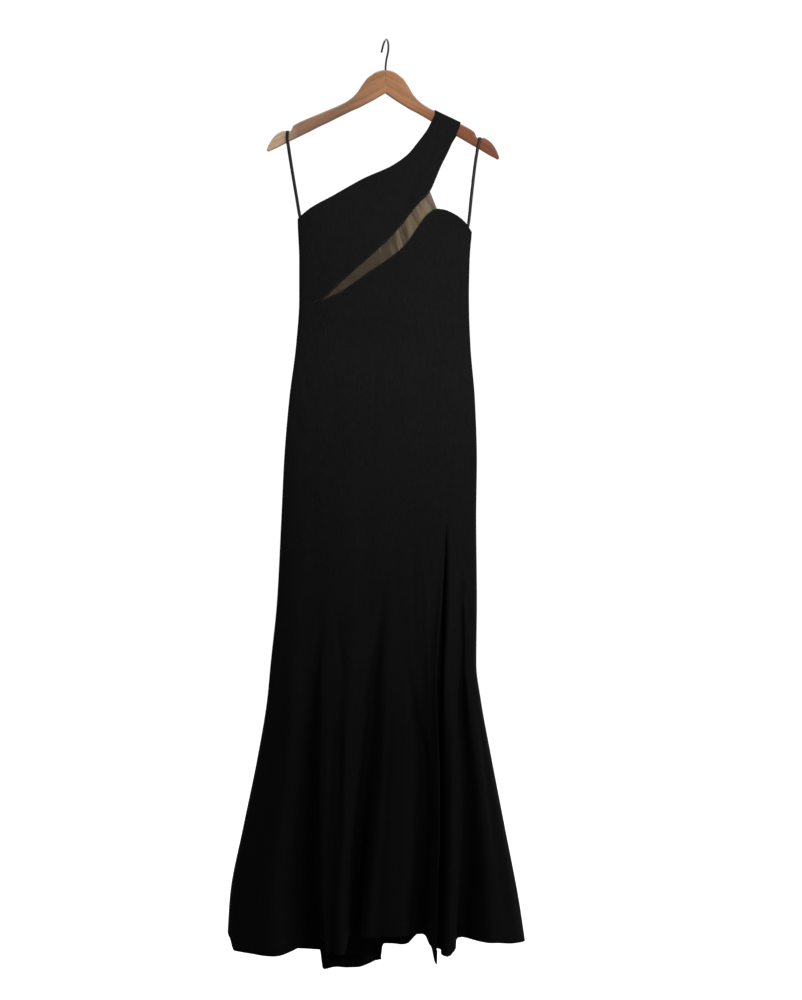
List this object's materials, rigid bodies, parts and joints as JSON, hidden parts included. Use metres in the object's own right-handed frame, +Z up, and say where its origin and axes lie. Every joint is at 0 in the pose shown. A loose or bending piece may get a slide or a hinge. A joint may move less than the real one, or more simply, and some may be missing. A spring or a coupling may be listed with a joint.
{
  "type": "one-shoulder evening gown on a wooden hanger",
  "caption": "Long black one-shoulder gown with a sheer diagonal insert, flared hem and front slit, hanging flat on a wooden hanger by its strap and two ribbon loops.",
  "frame": {"origin": "inside top of the hanger's hook, where a rail carries it", "axes": "+Z up; the gown's front faces -Y; +X to the right of one who looks at the front"},
  "size_m": [0.5593, 0.2469, 1.7861],
  "materials": {
    "crepe": "matt black stretch crepe",
    "mesh": "sheer taupe mesh",
    "ribbon": "black satin ribbon",
    "wood": "orange-brown varnish",
    "wire": "plated steel wire",
    "zip_metal": "black lacquered zip metal"
  },
  "bodies": {
    "gown_and_hanger": {"bodice_front": "crepe", "mesh_insert": "mesh", "front_centre_panel": "crepe", "front_side_panel_left": "crepe", "front_side_panel_right": "crepe", "back_panel_left": "crepe", "back_panel_right": "crepe", "hanger_loop_left": "ribbon", "hanger_loop_right": "ribbon", "hanger_left": "wood", "hanger_right": "wood", "hook": "wire", "zip_slider": "zip_metal"},
    "pull": {"zip_pull": "zip_metal"}
  },
  "joints": [
    {"name": "zip_pull_hinge", "type": "hinge", "parent": "gown_and_hanger", "child": "pull", "pos_m": [-0.0009, 0.01569, -0.252], "axis": [1, 0, 0], "range_deg": [0, 165]}
  ]
}
